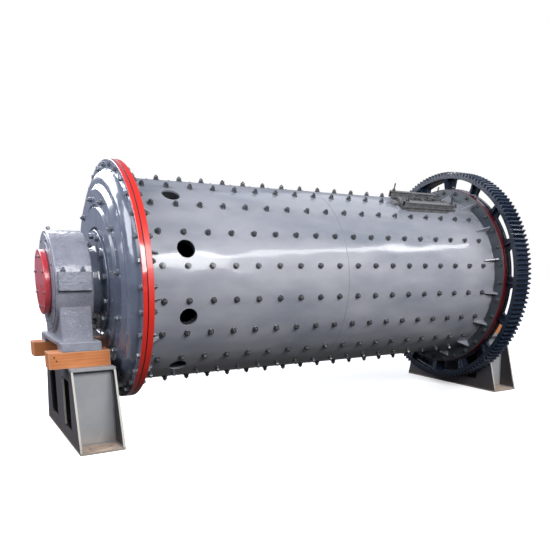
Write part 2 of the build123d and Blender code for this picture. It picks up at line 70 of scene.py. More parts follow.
def addNode(tree, kind, settings, links):
    node = tree.nodes.new("ShaderNode" + kind)
    for name, value in settings.items():
        if isinstance(name, str) and hasattr(node, name):
            setattr(node, name, value)
        else:
            node.inputs[name].default_value = value
    for name, source in links.items():
        tree.links.new(source, node.inputs[name])
    return node


def newMaterial(name):
    material = bpy.data.materials.new(name)
    material.use_nodes = True
    tree = material.node_tree
    where = addNode(tree, "TexCoord", {}, {})
    return material, tree, tree.nodes["Principled BSDF"], where


def enamel(name, look):
    # Enamel over metal: clouds of tone, dust where it faces up, softened edges and the metal's own unevenness
    material, tree, shader, where = newMaterial(name)
    place = where.outputs["Object"]
    axes = addNode(tree, "SeparateXYZ", {}, {0: place})
    direction = addNode(tree, "SeparateXYZ", {}, {0: where.outputs["Normal"]})
    stretched = addNode(tree, "Mapping", {"Scale": look.get("stretch", (1, 1, 1))}, {"Vector": place})
    patches = addNode(
        tree, "TexNoise", {"Scale": 1 / look["patchSize"], "Detail": 4, "Roughness": 0.55},
        {"Vector": stretched.outputs[0]},
    )
    patchMask = addNode(
        tree, "MapRange", {"From Min": 0.34, "From Max": 0.7}, {"Value": patches.outputs["Fac"]}
    )
    tone = addNode(
        tree, "Mix", {"data_type": "RGBA", 6: colour(look["base"]), 7: colour(look["patch"])},
        {0: patchMask.outputs[0]},
    ).outputs[2]
    layers = []  # colours laid over the clouds in turn, each with the node that masks it
    if "litEdge" in look:  # painted highlight: the narrow flame-cut edges of plates whose faces look along X, painted pale where the light catches them
        along = addNode(tree, "Math", {"operation": "ABSOLUTE"}, {0: direction.outputs["X"]})
        isLitEdge = addNode(tree, "MapRange", {"From Min": 0.5, "From Max": 0.4}, {"Value": along.outputs[0]})
        layers.append((look["litEdge"], isLitEdge))
    if "inside" in look:  # painted shade: faces that look in towards the middle of a stand are darkened, as shade falls inside it
        hand = addNode(tree, "Math", {"operation": "SIGN"}, {0: axes.outputs["X"]})
        mirror = addNode(tree, "CombineXYZ", {"Y": 1, "Z": 1}, {"X": hand.outputs[0]})
        nearPlace = addNode(tree, "VectorMath", {"operation": "MULTIPLY"}, {0: place, 1: mirror.outputs[0]})
        nearNormal = addNode(
            tree, "VectorMath", {"operation": "MULTIPLY"},
            {0: where.outputs["Normal"], 1: mirror.outputs[0]},
        )
        fromMiddle = addNode(
            tree, "VectorMath", {"operation": "SUBTRACT", 1: look["middle"]}, {0: nearPlace.outputs[0]}
        )
        outward = addNode(
            tree, "VectorMath", {"operation": "DOT_PRODUCT"},
            {0: fromMiddle.outputs[0], 1: nearNormal.outputs[0]},
        )
        isShadedInside = addNode(
            tree, "MapRange", {"From Min": 0.08, "From Max": 0.04}, {"Value": outward.outputs["Value"]}
        )
        layers.append((look["inside"], isShadedInside))
    if "rim" in look:  # a second colour brushed round the rim, measured out from the mill's axis
        centred = addNode(
            tree, "Mapping", {"Location": (0, 0, -mill["axisHeight"]), "Scale": (0, 1, 1)},
            {"Vector": place},
        )
        radius = addNode(tree, "VectorMath", {"operation": "LENGTH"}, {0: centred.outputs[0]})
        wobble = addNode(tree, "TexNoise", {"Scale": 1 / look["wobbleSize"], "Detail": 2}, {"Vector": place})
        reach = addNode(
            tree, "Math", {"operation": "MULTIPLY_ADD", 1: look["wobble"]},
            {0: wobble.outputs["Fac"], 2: radius.outputs["Value"]},
        )
        isRim = addNode(
            tree, "MapRange", {"From Min": look["rimFrom"], "From Max": look["rimFrom"] + look["rimBlend"]},
            {"Value": reach.outputs[0]},
        )
        isJoint = addNode(
            tree, "Math", {"operation": "COMPARE", 1: look["jointAt"], 2: look["jointHalf"]},
            {0: axes.outputs["X"]},
        )
        layers += [(look["rim"], isRim), (look["joint"], isJoint)]
    # a lighter colour on faces that look up: dust on most finishes, and a painted sheen on the gear's bitumen
    if "dustAndSheen" in look:
        specks = addNode(
            tree, "TexNoise", {"Scale": 1 / look["dustAndSheenSize"], "Detail": 6, "Roughness": 0.7},
            {"Vector": place},
        )
        upward = addNode(
            tree, "MapRange", {"From Min": 0.5, "From Max": 1.0, "To Max": look["dustAndSheenAmount"]},
            {"Value": direction.outputs["Z"]},
        )
        dustAndSheenPatches = addNode(
            tree, "MapRange", {"From Min": 0.3, "From Max": 0.62}, {"Value": specks.outputs["Fac"]}
        )
        dustAndSheenMask = addNode(
            tree, "Math", {"operation": "MULTIPLY"}, {0: upward.outputs[0], 1: dustAndSheenPatches.outputs[0]}
        )
        layers.append((look["dustAndSheen"], dustAndSheenMask))
    if "splash" in look:  # brown splashes that thin out upwards from the ground
        splashes = addNode(
            tree, "TexNoise", {"Scale": 1 / look["splashSize"], "Detail": 6, "Roughness": 0.65},
            {"Vector": place},
        )
        low = addNode(
            tree, "MapRange", {"From Min": look["splashHeight"], "From Max": 0.0, "To Max": 0.8},
            {"Value": axes.outputs["Z"]},
        )
        splashed = addNode(
            tree, "MapRange", {"From Min": 0.35, "From Max": 0.6}, {"Value": splashes.outputs["Fac"]}
        )
        splashMask = addNode(
            tree, "Math", {"operation": "MULTIPLY"}, {0: low.outputs[0], 1: splashed.outputs[0]}
        )
        layers.append((look["splash"], splashMask))
    if "speck" in look:  # bright specks over the casting's skin
        grit = addNode(tree, "TexNoise", {"Scale": 1 / look["speckSize"], "Detail": 3}, {"Vector": place})
        gritMask = addNode(
            tree, "MapRange", {"From Min": 0.62, "From Max": 0.72, "To Max": 0.8},
            {"Value": grit.outputs["Fac"]},
        )
        layers.append((look["speck"], gritMask))
    for laid, mask in layers:
        tone = addNode(
            tree, "Mix", {"data_type": "RGBA", 7: colour(laid)}, {0: mask.outputs[0], 6: tone}
        ).outputs[2]
    sheen = addNode(
        tree, "MapRange",
        {"From Min": 0.3, "From Max": 0.7, "To Min": look["rough"][0], "To Max": look["rough"][1]},
        {"Value": patches.outputs["Fac"]},
    )
    rounded = addNode(tree, "Bevel", {"samples": 4, "Radius": look.get("edge", 0.004)}, {})
    wave = addNode(
        tree, "TexNoise", {"Scale": 1 / look["waveSize"], "Detail": 1}, {"Vector": stretched.outputs[0]}
    )
    waveBump = addNode(
        tree, "Bump", {"Distance": look["waveHeight"]},
        {"Height": wave.outputs["Fac"], "Normal": rounded.outputs[0]},
    )
    grain = addNode(
        tree, "TexNoise", {"Scale": 1 / look["grainSize"], "Detail": 5, "Roughness": 0.6}, {"Vector": place}
    )
    grainBump = addNode(
        tree, "Bump", {"Distance": look["grainHeight"]},
        {"Height": grain.outputs["Fac"], "Normal": waveBump.outputs[0]},
    )
    shader.inputs["IOR"].default_value = 1.5
    shader.inputs["Coat Weight"].default_value = look.get("coat", 0.0)
    shader.inputs["Coat Roughness"].default_value = look.get("coatRough", 0.1)
    tree.links.new(tone, shader.inputs["Base Color"])
    tree.links.new(sheen.outputs[0], shader.inputs["Roughness"])
    tree.links.new(grainBump.outputs[0], shader.inputs["Normal"])
    tree.links.new(waveBump.outputs[0], shader.inputs["Coat Normal"])
    return material


# Red enamel brushed round a flange's rim, with a dark line in the joint between two flanges
redRim = {
    "rim": "#cf2a20", "rimFrom": flangeRadius - 0.002, "rimBlend": 0.002, "wobble": 0.008, "wobbleSize": 0.05,
    "joint": "#3a0f10", "jointAt": mill["joint"]["plain_end"], "jointHalf": 0.0055,
}
paints = {
    # Gloss grey alkyd enamel sprayed on rolled plate: long soft reflections that waver with the plate
    "glossGreyEnamel": {
        "base": "#7d818b", "patch": "#97989f", "patchSize": 0.42, "stretch": (0.45, 1, 1),
        "rough": (0.2, 0.48), "coat": 0.4, "coatRough": 0.09, "waveSize": 0.3, "waveHeight": 0.016,
        "grainSize": 0.012, "grainHeight": 0.0002,
    },
    # The same enamel brushed on turned flanges, in a darker grey all over, with a red rim
    "flangeEnamel": {
        "base": "#4c5357", "patch": "#596063", "patchSize": 0.2, "rough": (0.3, 0.45), "coat": 0.3,
        "waveSize": 0.2, "waveHeight": 0.001, "grainSize": 0.01, "grainHeight": 0.0004, **redRim,
    },
    # Bright red alkyd enamel brushed on a turned cover: clean colour, faded in clouds
    "redEnamel": {
        "base": "#c4303a", "patch": "#d4525a", "patchSize": 0.16, "rough": (0.25, 0.4), "coat": 0.4,
        "waveSize": 0.12, "waveHeight": 0.002, "grainSize": 0.01, "grainHeight": 0.0002,
    },
    # Dark blue-grey gloss enamel on sand castings: deep tone with broken sky reflections, and the red rim
    "castingEnamel": {
        "base": "#5d6475", "patch": "#6c7485", "patchSize": 0.3, "rough": (0.16, 0.32), "coat": 1.0,
        "coatRough": 0.07, "waveSize": 0.14, "waveHeight": 0.007, "grainSize": 0.012, "grainHeight": 0.0005,
        **redRim,
    },
    # Black bitumen paint and oil on cast steel: nearly black and glossy, with a painted sheen in lighter
    # blue-grey on its upward faces and teeth
    "bitumenPaint": {
        "base": "#101b2c", "patch": "#1a283b", "patchSize": 0.18, "rough": (0.2, 0.38), "coat": 0.5,
        "waveSize": 0.1, "waveHeight": 0.001, "grainSize": 0.01, "grainHeight": 0.0006, "edge": 0.003,
        "dustAndSheen": "#2c3138", "dustAndSheenAmount": 0.4, "dustAndSheenSize": 0.12,
    },
    # Lilac-grey enamel brushed over rough cast iron: the sand's grain raised in bumps, with bright specks
    # over it
    "enamelOnIron": {
        "base": "#80828f", "patch": "#8f919d", "patchSize": 0.14, "rough": (0.24, 0.44), "coat": 0.5,
        "coatRough": 0.12, "waveSize": 0.05, "waveHeight": 0.005, "grainSize": 0.022, "grainHeight": 0.005,
        "dustAndSheen": "#8d8983", "dustAndSheenAmount": 0.4, "dustAndSheenSize": 0.1, "edge": 0.008, "speck": "#b4b6bc",
        "speckSize": 0.016,
    },
    # Satin grey primer-enamel on hot-rolled plate: faint cool clouds, with painted shade on the faces inside
    # the stands
    "satinPlateEnamel": {
        "base": "#94989c", "patch": "#a0a1a4", "patchSize": 0.25, "rough": (0.38, 0.55),
        "waveSize": 0.2, "waveHeight": 0.001, "grainSize": 0.008, "grainHeight": 0.0002,
        "inside": "#2d2a2c", "middle": (2.775, 0, 0.4), "splash": "#93806e", "splashHeight": 0.2,
        "splashSize": 0.06,
    },
    # Grey paint on the foot plate, under brown dust from the ground
    "dustyPlateEnamel": {
        "base": "#8d857d", "patch": "#9c9085", "patchSize": 0.12, "rough": (0.5, 0.7),
        "waveSize": 0.2, "waveHeight": 0.001, "grainSize": 0.01, "grainHeight": 0.0004,
        "dustAndSheen": "#cdb19b", "dustAndSheenAmount": 0.95, "dustAndSheenSize": 0.08,
    },
    # Grey primer worn brown on the manhole's pressed and folded steel
    "wornPrimer": {
        "base": "#4c4d51", "patch": "#6a6968", "patchSize": 0.06, "rough": (0.3, 0.5),
        "waveSize": 0.05, "waveHeight": 0.002, "grainSize": 0.006, "grainHeight": 0.0006, "edge": 0.003,
        "dustAndSheen": "#8a857d", "dustAndSheenAmount": 0.3, "dustAndSheenSize": 0.05,
    },
}
gearJoint = mill["joint"]["gear_end"]
# The plates' enamel on the stands' side plates: a darker copy as painted shade, with darker splashes, and
# their flame-cut edges painted pale and beige as a highlight
paints["shadedPlateLitEdgeEnamel"] = dict(
    paints["satinPlateEnamel"], base="#4a474c", patch="#545156", rough=(0.42, 0.58), litEdge="#b9b6ae",
    splash="#5f5046", splashHeight=0.16,
)
# The flange and the head beside the gear, with painted shade from the gear: their red rims darker, and the
# flange's enamel darker too
paints["gearShadedFlangeEnamel"] = dict(
    paints["flangeEnamel"], base="#373e44", patch="#454b51", rim="#5e1019", jointAt=gearJoint
)
paints["gearShadedCastingEnamel"] = dict(paints["castingEnamel"], rim="#3c1018", jointAt=gearJoint)


def manganeseSteel(name):
    # Cast manganese steel, worn by balls, with a pebbled skin
    material, tree, shader, where = newMaterial(name)
    pebbles = addNode(tree, "TexVoronoi", {"Scale": 1 / 0.03}, {"Vector": where.outputs["Object"]})
    tone = addNode(
        tree, "Mix", {"data_type": "RGBA", 6: colour("#3a3d43"), 7: colour("#55585e")},
        {0: pebbles.outputs["Distance"]},
    )
    bump = addNode(tree, "Bump", {"Distance": 0.002}, {"Height": pebbles.outputs["Distance"]})
    shader.inputs["Metallic"].default_value = 0.7
    shader.inputs["Roughness"].default_value = 0.55
    tree.links.new(tone.outputs[2], shader.inputs["Base Color"])
    tree.links.new(bump.outputs[0], shader.inputs["Normal"])
    return material


def turnedBronze(name):
    # Bronze turned on a lathe: a warm metal with rings of tool marks, drawn at 8 mm so that they show
    material, tree, shader, where = newMaterial(name)
    centred = addNode(
        tree, "Mapping", {"Location": (0, 0, -mill["axisHeight"])}, {"Vector": where.outputs["Object"]}
    )
    rings = addNode(
        tree, "TexWave",
        {"wave_type": "RINGS", "rings_direction": "X", "Scale": 0.314 / 0.008, "Distortion": 0.5},
        {"Vector": centred.outputs[0]},
    )
    tone = addNode(
        tree, "Mix", {"data_type": "RGBA", 6: colour("#b08a4a"), 7: colour("#8c6a38")},
        {0: rings.outputs["Fac"]},
    )
    bump = addNode(tree, "Bump", {"Distance": 0.0003}, {"Height": rings.outputs["Fac"]})
    shader.inputs["Metallic"].default_value = 1.0
    shader.inputs["Roughness"].default_value = 0.35
    tree.links.new(tone.outputs[2], shader.inputs["Base Color"])
    tree.links.new(bump.outputs[0], shader.inputs["Normal"])
    return material


def sawnHardwood(name, look):
    # Rough-sawn hardwood: orange-brown with long grain, rings at its ends and pale arrises, partly worn wood
    # and partly a painted highlight
    material, tree, shader, where = newMaterial(name)
    place = where.outputs["Object"]
    folded = addNode(tree, "VectorMath", {"operation": "ABSOLUTE"}, {0: place})
    pith = addNode(
        tree, "Mapping", {"Location": (0, -look["pith"][0], -look["pith"][1]), "Scale": (0.12, 1, 1)},
        {"Vector": folded.outputs[0]},
    )
    rings = addNode(
        tree, "TexWave",
        {"wave_type": "RINGS", "rings_direction": "X", "Scale": 0.314 / look["ringWidth"], "Distortion": 6.0,
         "Detail": 3, "Detail Scale": 0.6},
        {"Vector": pith.outputs[0]},
    )
    fibres = addNode(tree, "Mapping", {"Scale": (1 / 0.35, 1 / 0.012, 1 / 0.012)}, {"Vector": place})
    streaks = addNode(
        tree, "TexNoise", {"Scale": 1.0, "Detail": 5, "Roughness": 0.65}, {"Vector": fibres.outputs[0]}
    )
    cloud = addNode(tree, "TexNoise", {"Scale": 1 / 0.22, "Detail": 3}, {"Vector": place})
    cloudMask = addNode(
        tree, "MapRange", {"From Min": 0.35, "From Max": 0.65}, {"Value": cloud.outputs["Fac"]}
    )
    tone = addNode(
        tree, "Mix", {"data_type": "RGBA", 6: colour(look["pale"]), 7: colour(look["deep"])},
        {0: cloudMask.outputs[0]},
    ).outputs[2]
    ringMask = addNode(
        tree, "Math", {"operation": "MULTIPLY", 1: look["ringAmount"]}, {0: rings.outputs["Fac"]}
    )
    streakMask = addNode(
        tree, "MapRange", {"From Min": 0.52, "From Max": 0.75, "To Max": 0.6},
        {"Value": streaks.outputs["Fac"]},
    )
    # pale arrises, partly worn wood and partly a painted highlight along the block's edges
    wornAndLitArris = addNode(tree, "Attribute", {"attribute_name": "arris"}, {})
    arrisWearAndLightMask = addNode(tree, "Math", {"operation": "MULTIPLY", 1: look["arrisWearAndLight"]}, {0: wornAndLitArris.outputs["Fac"]})
    for laid, mask in ((look["ring"], ringMask), (look["streak"], streakMask), (look["wornAndLitArris"], arrisWearAndLightMask)):
        tone = addNode(
            tree, "Mix", {"data_type": "RGBA", 7: colour(laid)}, {0: mask.outputs[0], 6: tone}
        ).outputs[2]
    sawBump = addNode(tree, "Bump", {"Distance": 0.0012}, {"Height": streaks.outputs["Fac"]})
    shader.inputs["Roughness"].default_value = 0.75
    shader.inputs["IOR"].default_value = 1.5
    tree.links.new(tone, shader.inputs["Base Color"])
    tree.links.new(sawBump.outputs[0], shader.inputs["Normal"])
    return material


def fittingSteel(name, look):
    # Steel fittings as forged or cut: semi-matt, touched with rust or paint in small spots
    material, tree, shader, where = newMaterial(name)
    spots = addNode(
        tree, "TexNoise", {"Scale": 1 / look["spotSize"], "Detail": 5, "Roughness": 0.7},
        {"Vector": where.outputs["Object"]},
    )
    spotMask = addNode(
        tree, "MapRange", {"From Min": look["spotFrom"], "From Max": look["spotFrom"] + 0.15},
        {"Value": spots.outputs["Fac"]},
    )
    tone = addNode(
        tree, "Mix", {"data_type": "RGBA", 6: colour(look["base"]), 7: colour(look["spot"])},
        {0: spotMask.outputs[0]},
    )
    bump = addNode(tree, "Bump", {"Distance": look["spotSize"] / 20}, {"Height": spots.outputs["Fac"]})
    shader.inputs["Metallic"].default_value = look["metallic"]
    shader.inputs["Roughness"].default_value = look["rough"]
    tree.links.new(tone.outputs[2], shader.inputs["Base Color"])
    tree.links.new(bump.outputs[0], shader.inputs["Normal"])
    return material


hardwood = {
    "pith": (0.43, 0.70), "ringWidth": 0.02, "pale": "#cf8450", "deep": "#bf7440", "ring": "#a8623a",
    "ringAmount": 0.35, "streak": "#a95f33", "wornAndLitArris": "#c3a58a", "arrisWearAndLight": 0.7,
}
fittings = {
    # Phosphated bolts under a film of grey overspray and shop dust
    "oversprayedSteel": {
        "base": "#4b4d51", "spot": "#7d7d80", "spotSize": 0.02, "spotFrom": 0.5, "metallic": 0.4,
        "rough": 0.3,
    },
    # Bolts painted over with the head: lighter steel shows at the corners
    "paintedBoltSteel": {
        "base": "#676c76", "spot": "#a0a3a8", "spotSize": 0.012, "spotFrom": 0.5, "metallic": 0.3,
        "rough": 0.3,
    },
    # Bolts black with grease from the gear
    "greasySteel": {
        "base": "#2c3034", "spot": "#45484a", "spotSize": 0.012, "spotFrom": 0.5, "metallic": 0.2,
        "rough": 0.4,
    },
    # Weld metal under the grey enamel
    "enamelledWeld": {
        "base": "#7d8187", "spot": "#6f6e6c", "spotSize": 0.012, "spotFrom": 0.5, "metallic": 0.0,
        "rough": 0.4,
    },
    # Nail heads rusted brown
    "rustyNailSteel": {
        "base": "#3a2a20", "spot": "#6a4128", "spotSize": 0.006, "spotFrom": 0.45, "metallic": 0.2,
        "rough": 0.7,
    },
}

materials = {finish: enamel(finish, look) for finish, look in paints.items()}
materials["manganeseSteel"] = manganeseSteel("manganeseSteel")
materials["turnedBronze"] = turnedBronze("turnedBronze")
materials["sawnHardwood"] = sawnHardwood("sawnHardwood", hardwood)
for finish, look in fittings.items():
    materials[finish] = fittingSteel(finish, look)

finishOfSlot = {
    "shell_paint": "glossGreyEnamel", "lining_steel": "manganeseSteel", "red_paint": "redEnamel",
    "head_paint": "castingEnamel", "gear_black": "bitumenPaint", "bearing_paint": "enamelOnIron",
    "bush_bronze": "turnedBronze", "packing_timber": "sawnHardwood", "dusty_base": "dustyPlateEnamel",
    "stand_paint": "satinPlateEnamel",
}
finishOfNode = {  # nodes whose finish differs from the rest of their slot
    "plain_end_shell_flange": "flangeEnamel", "gear_end_shell_flange": "gearShadedFlangeEnamel",
    "gear_end_head": "gearShadedCastingEnamel",
    "manhole_frame": "wornPrimer", "manhole_cover": "wornPrimer", "manhole_clamp_bars": "wornPrimer",
}
for end in mill["side"]:
    finishOfNode[f"{end}_stand_inner_plate"] = "shadedPlateLitEdgeEnamel"
    finishOfNode[f"{end}_stand_outer_plate"] = "shadedPlateLitEdgeEnamel"
slotOf = {part["node"]: part["material_slot"] for part in frame["record"]["subparts"]}
for nodeName, node in nodes.items():
    for slot in node.material_slots:
        slot.material = materials[finishOfNode.get(nodeName, finishOfSlot[slotOf[nodeName]])]
print("materials made for", len(slotOf), "nodes")


# Pieces: fittings, welds and timber, each riding on the frame or the drum
def addPiece(name, shape, finish, body, sharpAngle=35):  # a shape is its corners and its faces
    mesh = bpy.data.meshes.new(name)
    mesh.from_pydata([tuple(corner) for corner in shape[0]], [], shape[1])
    mesh.materials.append(materials[finish])
    mesh.shade_smooth()
    mesh.set_sharp_from_angle(angle=math.radians(sharpAngle))
    piece = bpy.data.objects.new(name, mesh)
    bpy.context.collection.objects.link(piece)
    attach(piece, body)
    return piece


def joined(shapes):
    corners, faces = [], []
    for shapeCorners, shapeFaces in shapes:
        first = len(corners)
        corners += shapeCorners
        faces += [tuple(first + index for index in face) for face in shapeFaces]
    return corners, faces


def spread(name, shape, places, finish, body):  # one shape at many places, as one piece
    copies = [([place @ corner for corner in shape[0]], shape[1]) for place in places]
    return addPiece(name, joined(copies), finish, body)


def outwards(angle):  # away from the mill's axis
    turn = math.radians(angle)
    return Vector((0, -math.sin(turn), math.cos(turn)))


def sideways(angle):  # round the mill's axis
    out = outwards(angle)
    return Vector((0, -out.z, out.y))


def onDrum(x, angle, radius):  # a point by its angle and radius about the mill's axis
    turn = math.radians(angle)
    return Vector((x, -radius * math.sin(turn), mill["axisHeight"] + radius * math.cos(turn)))


def anglesOf(count, phase=0):
    return [phase + index * 360 / count for index in range(count)]


def standing(point, direction, spin=0):  # stands a fitting on a point with its height along a direction
    up = Vector(direction).normalized()
    side = up.orthogonal().normalized()
    turned = Matrix.Rotation(math.radians(spin), 4, "Z")
    return Matrix.Translation(point) @ Matrix((side, up.cross(side), up)).transposed().to_4x4() @ turned


def lying(point, up, along):  # lays a piece on a point with its height along up and its length along along
    up, along = Vector(up), Vector(along)
    return Matrix.Translation(point) @ Matrix((along, up.cross(along), up)).transposed().to_4x4()


def boltCircle(size, phase, x, facing, spin):  # places round the axis, each fitting spun a step further
    return [
        standing(onDrum(x, angle, size["radius"]), (facing, 0, 0), index * spin)
        for index, angle in enumerate(anglesOf(size["count"], phase))
    ]


def skinFaces(levels, count, foot=True):  # the faces that join rings of corners into one skin
    faces = [tuple(reversed(range(count)))] if foot else []
    for low in range(0, (levels - 1) * count, count):
        for step in range(count):
            after = (step + 1) % count
            faces.append((low + step, low + after, low + count + after, low + count + step))
    return faces + [tuple(range((levels - 1) * count, levels * count))]


def turnedShape(rings, samples=12):  # rings of height, radius and half the width across flats, or None
    corners = []
    for height, radius, flat in rings:
        for step in range(samples):
            turn = 2 * math.pi * step / samples
            fromFlat = (turn + math.pi / 6) % (math.pi / 3) - math.pi / 6
            reach = radius if flat is None else min(radius, flat / math.cos(fromFlat))
            corners.append(Vector((reach * math.cos(turn), reach * math.sin(turn), height)))
    return corners, skinFaces(len(rings), samples, foot=False)


def washerRings(size):
    washer, seat = size["washerRadius"], size["washerHeight"]
    return [(0, washer, None), (seat * 0.7, washer, None), (seat, washer - seat * 0.3, None)]


def nutAndStud(size):  # washer, hexagon nut and stud end, stacked from the seat up
    flat, stud, tip = size["acrossFlats"] / 2, size["studRadius"], size["tip"]
    corner = flat / math.cos(math.pi / 6)
    seat = size["washerHeight"]
    top = seat + size["nutHeight"]
    return turnedShape(washerRings(size) + [
        (seat, flat * 1.04, flat), (seat + 0.12 * flat, corner, flat), (top - 0.12 * flat, corner, flat),
        (top, flat * 1.02, flat), (top, stud, None), (tip - 0.2 * stud, stud, None), (tip, stud * 0.75, None),
    ])


def boltHead(size):  # washer and hexagon head
    flat = size["acrossFlats"] / 2
    corner = flat / math.cos(math.pi / 6)
    seat = size["washerHeight"]
    top = seat + size["headHeight"]
    return turnedShape(washerRings(size) + [
        (seat, corner, flat), (top - 0.14 * flat, corner, flat), (top, flat * 0.98, flat),
    ])


def plateShape(length, width, height, cut):  # a flat block on its face, with the upper arrises taken off
    corners = []
    for inset, level in ((0, 0), (0, height - cut), (cut, height)):
        x, y = length / 2 - inset, width / 2 - inset
        for handX, handY in ((-1, -1), (1, -1), (1, 1), (-1, 1)):
            corners.append(Vector((x * handX, y * handY, level)))
    return corners, skinFaces(3, 4)


def eyeShape(ring, tube, stem, steps=20, sides=8):  # a forged lifting eye on its stem, standing up
    corners, faces = [], []
    for step in range(steps):
        turn = 2 * math.pi * step / steps
        for side in range(sides):
            lean = 2 * math.pi * side / sides
            reach = ring + tube * math.cos(lean)
            height = stem + ring - reach * math.cos(turn)
            corners.append(Vector((reach * math.sin(turn), tube * math.sin(lean), height)))
        low, high = step * sides, (step + 1) % steps * sides
        for side in range(sides):
            after = (side + 1) % sides
            faces.append((low + side, high + side, high + after, low + after))
    foot = turnedShape([(0, tube * 2, None), (0.006, tube * 2, None), (stem, tube, None)])
    return joined([(corners, faces), foot])


# Girth gear: each half again, with its rim's near face and its windows' inner edges where the real ones are
gear = {
    "rimAt": 2.3125, "rimTo": 2.34, "ribAt": 2.335, "ribTo": 2.35, "webFrom": 2.41, "webTo": 2.475,
    "windowAt": 1.272, "windowTo": 1.252, "windowCorner": 0.03, "slack": 0.001,
}
for half in ("front", "back"):
    mesh = nodes[f"girth_gear_{half}_half"].data.copy()
    mesh.name = f"gear_{half}_casting"
    for corner in mesh.vertices:
        place = corner.co
        radius = math.hypot(place.y, place.z - mill["axisHeight"])
        pastWindow = radius - gear["windowAt"]
        if abs(place.x - gear["rimAt"]) < gear["slack"]:
            place.x = gear["rimTo"]
        elif abs(place.x - gear["ribAt"]) < gear["slack"]:
            place.x = gear["ribTo"]
        elif gear["webFrom"] < place.x < gear["webTo"] and -gear["slack"] < pastWindow < gear["windowCorner"]:
            share = 1 - max(pastWindow, 0) / gear["windowCorner"]
            factor = 1 - (gear["windowAt"] - gear["windowTo"]) * share / radius
            place.y *= factor
            place.z = mill["axisHeight"] + (place.z - mill["axisHeight"]) * factor
    piece = bpy.data.objects.new(f"gear_{half}_casting", mesh)
    bpy.context.collection.objects.link(piece)
    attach(piece, "drum")
    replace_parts(piece, f"girth_gear_{half}_half")
print("girth gear fitted")

# Lining bolts: nut and stud end over a sealing washer, in every row and column but under the manhole
liningBolts = {
    "rows": 20, "rowPhase": 27.45, "columns": 18, "pitch": 0.25, "firstColumn": -2.125,
    "manholeRow": 0, "manholeFrom": 1.0, "manholeTo": 2.0, "sink": 0.001,
    "acrossFlats": 0.043, "nutHeight": 0.026, "washerRadius": 0.032, "washerHeight": 0.012,
    "studRadius": 0.012, "tip": 0.05,
}
places = []
for row, angle in enumerate(anglesOf(liningBolts["rows"], liningBolts["rowPhase"])):
    for column in range(liningBolts["columns"]):
        x = liningBolts["firstColumn"] + column * liningBolts["pitch"]
        if row == liningBolts["manholeRow"] and liningBolts["manholeFrom"] < x < liningBolts["manholeTo"]:
            continue
        spin = (row * 37 + column * 23) % 60
        places.append(standing(onDrum(x, angle, shellRadius - liningBolts["sink"]), outwards(angle), spin))
spread("lining_bolts", nutAndStud(liningBolts), places, "oversprayedSteel", "drum")
print("lining bolts:", len(places))

# Flange bolts through the shell flange, the head's flange and, at the gear end, the gear's web
flangeBolts = {
    "count": 32, "phase": {"plain_end": 1.5, "gear_end": 2.5}, "radius": 1.19,
    "acrossFlats": 0.046, "nutHeight": 0.024, "headHeight": 0.019, "washerRadius": 0.028,
    "washerHeight": 0.004, "studRadius": 0.015, "tip": 0.042,
    "headFace": {"plain_end": -2.37, "gear_end": 2.465}, "nutFace": {"plain_end": -2.265, "gear_end": 2.33},
}
for end, side in mill["side"].items():
    phase = flangeBolts["phase"][end]
    heads = boltCircle(flangeBolts, phase, flangeBolts["headFace"][end], side, 17)
    nuts = boltCircle(flangeBolts, phase, flangeBolts["nutFace"][end], -side, 29)
    finish, slotName = ("paintedBoltSteel", "head_paint") if side < 0 else ("greasySteel", "gear_black")
    spread(f"{end}_flange_bolt_heads", boltHead(flangeBolts), heads, finish, "drum")
    spread(f"{end}_flange_nuts", nutAndStud(flangeBolts), nuts, "oversprayedSteel", "drum")

# Head bolts: one ring of nuts on the bolting land, and one of bolts on the trunnion's flange
landNuts = {
    "count": 12, "phase": -6.5, "radius": 0.845, "depth": 0.16, "acrossFlats": 0.046, "nutHeight": 0.024,
    "washerRadius": 0.032, "washerHeight": 0.005, "studRadius": 0.013, "tip": 0.044,
}
trunnionBolts = {
    "count": 12, "phase": -6, "radius": 0.469, "depth": 0.19, "acrossFlats": 0.055, "headHeight": 0.023,
    "washerRadius": 0.033, "washerHeight": 0.005,
}
for end, side in mill["side"].items():
    for name, size, shape in (
        ("land_nuts", landNuts, nutAndStud(landNuts)),
        ("trunnion_bolts", trunnionBolts, boltHead(trunnionBolts)),
    ):
        places = boltCircle(size, size["phase"], mill["joint"][end] + side * size["depth"], side, 13)
        spread(f"{end}_{name}", shape, places, "paintedBoltSteel", "drum")
print("bolts on flanges and heads made")

# Cover screws, seal ring screws, the studs that draw the bearing caps down, and a grease cup on each cap
coverScrews = {
    "count": 8, "phase": 22.5, "radius": 0.27, "out": 3.055, "acrossFlats": 0.024, "headHeight": 0.01,
    "washerRadius": 0.015, "washerHeight": 0.002,
}
sealScrews = {
    "count": 8, "phase": 22.5, "radius": 0.44, "out": 2.992, "acrossFlats": 0.019, "headHeight": 0.008,
    "washerRadius": 0.012, "washerHeight": 0.002,
}
capStuds = {
    "x": (2.733, 2.912), "y": 0.534, "z": 1.7, "spin": 20, "acrossFlats": 0.036, "nutHeight": 0.022,
    "washerRadius": 0.022, "washerHeight": 0.004, "studRadius": 0.012, "tip": 0.05,
}
greaseCup = {
    "x": 2.93, "angle": -8, "radius": 0.508,
    "rings": (
        (0, 0.016, None), (0.012, 0.016, None), (0.014, 0.011, None), (0.022, 0.011, None),
        (0.024, 0.019, None), (0.044, 0.019, None), (0.05, 0.012, None),
    ),
}
